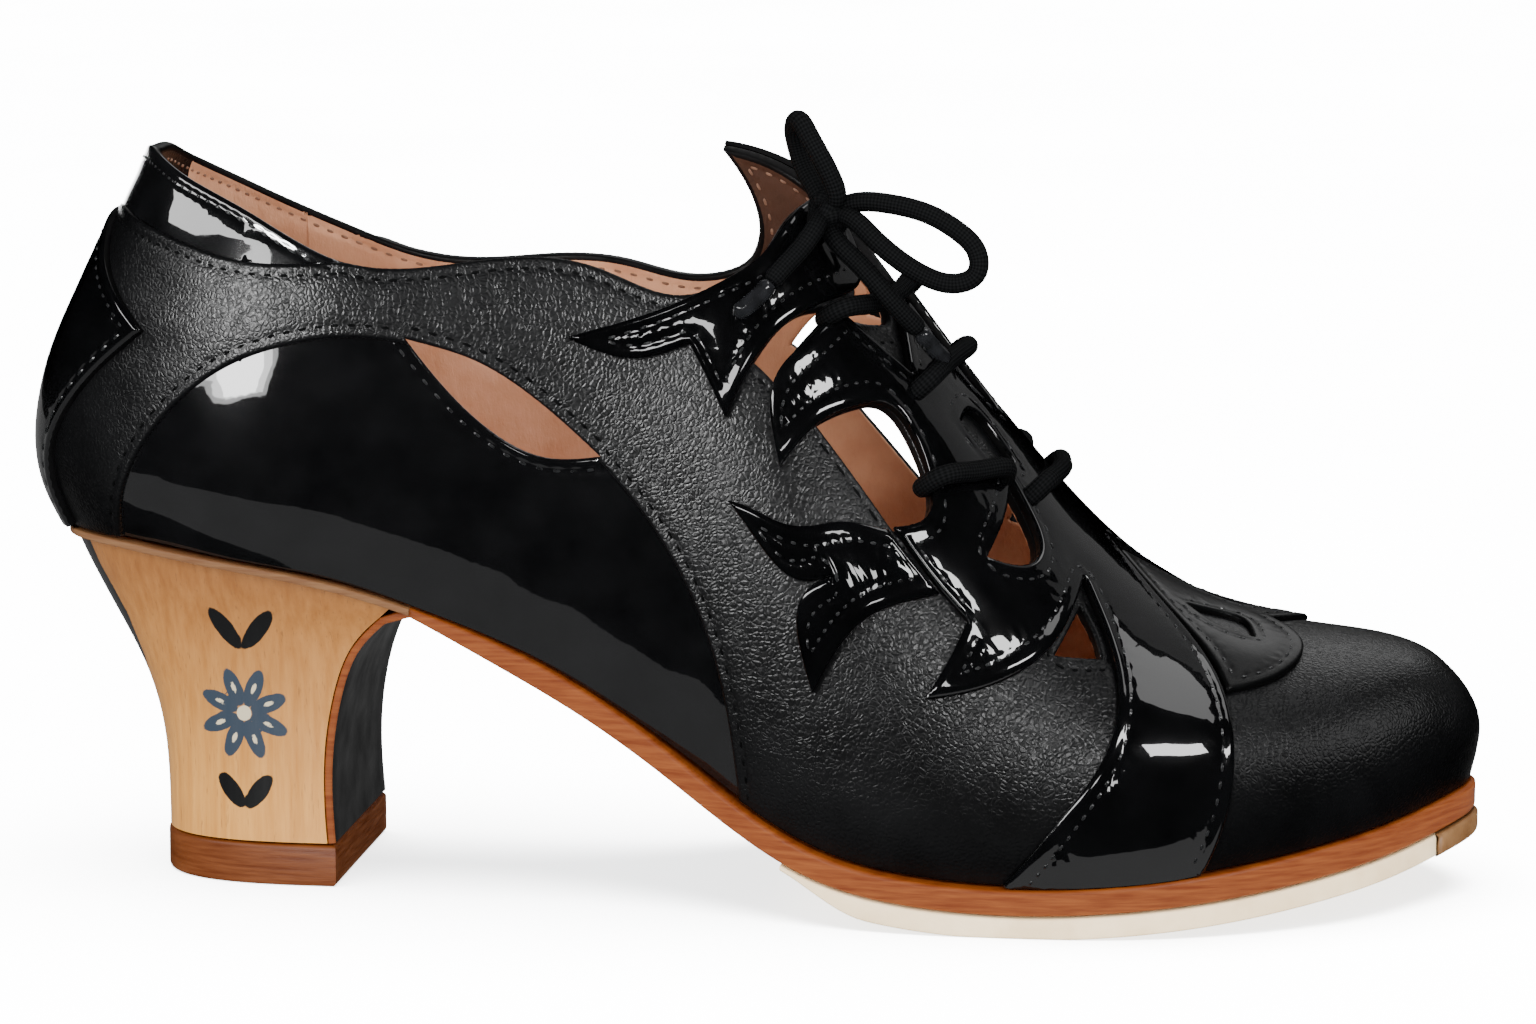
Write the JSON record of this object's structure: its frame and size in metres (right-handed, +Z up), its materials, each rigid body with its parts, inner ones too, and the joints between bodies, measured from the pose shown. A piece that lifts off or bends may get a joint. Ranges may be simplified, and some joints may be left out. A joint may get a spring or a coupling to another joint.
{
  "type": "flamenco shoe",
  "caption": "Lace-up flamenco dance shoe for the right foot: matte and patent leather upper with flame cut-outs, leather sole and waisted wooden block heel.",
  "frame": {"origin": "middle of the heel tip's floor face", "axes": "+X along the foot to the toe, +Y to the inner (medial) side of the right foot, +Z up"},
  "size_m": [0.243, 0.0912, 0.1299],
  "materials": {
    "matte_leather": "fine-grained matte black",
    "patent_leather": "high-gloss black patent",
    "lining_leather": "tan lining leather",
    "sole_leather": "waxed brown edge",
    "rand_leather": "waxed tan edge",
    "pale_sole": "raw cream leather",
    "toe_plate": "dull bronze",
    "heel_wood": "satin varnish with a painted design",
    "heel_tip": "brown satin",
    "lace": "round braided cord"
  },
  "bodies": {
    "root": {"upper": "matte_leather", "insole": "lining_leather", "outsole": "sole_leather", "heel_seat": "rand_leather", "half_sole": "pale_sole", "toe_plate": "toe_plate", "heel": "heel_wood", "heel_tip": "heel_tip", "counter": "patent_leather", "vamp_patent": "patent_leather", "vamp_ornament": "patent_leather", "flame_upper_lateral": "patent_leather", "flame_upper_medial": "patent_leather", "flame_lower_lateral": "patent_leather", "flame_lower_medial": "patent_leather", "lace_bar_low_lateral": "lace", "lace_bar_low_medial": "lace", "lace_bar_vamp": "lace", "lace_bar_middle": "lace", "lace_bar_top": "lace", "lace_knot": "lace", "lace_loop_upper": "lace", "lace_loop_front": "lace", "lace_end_rear": "lace", "lace_end_front": "lace"}
  },
  "joints": []
}
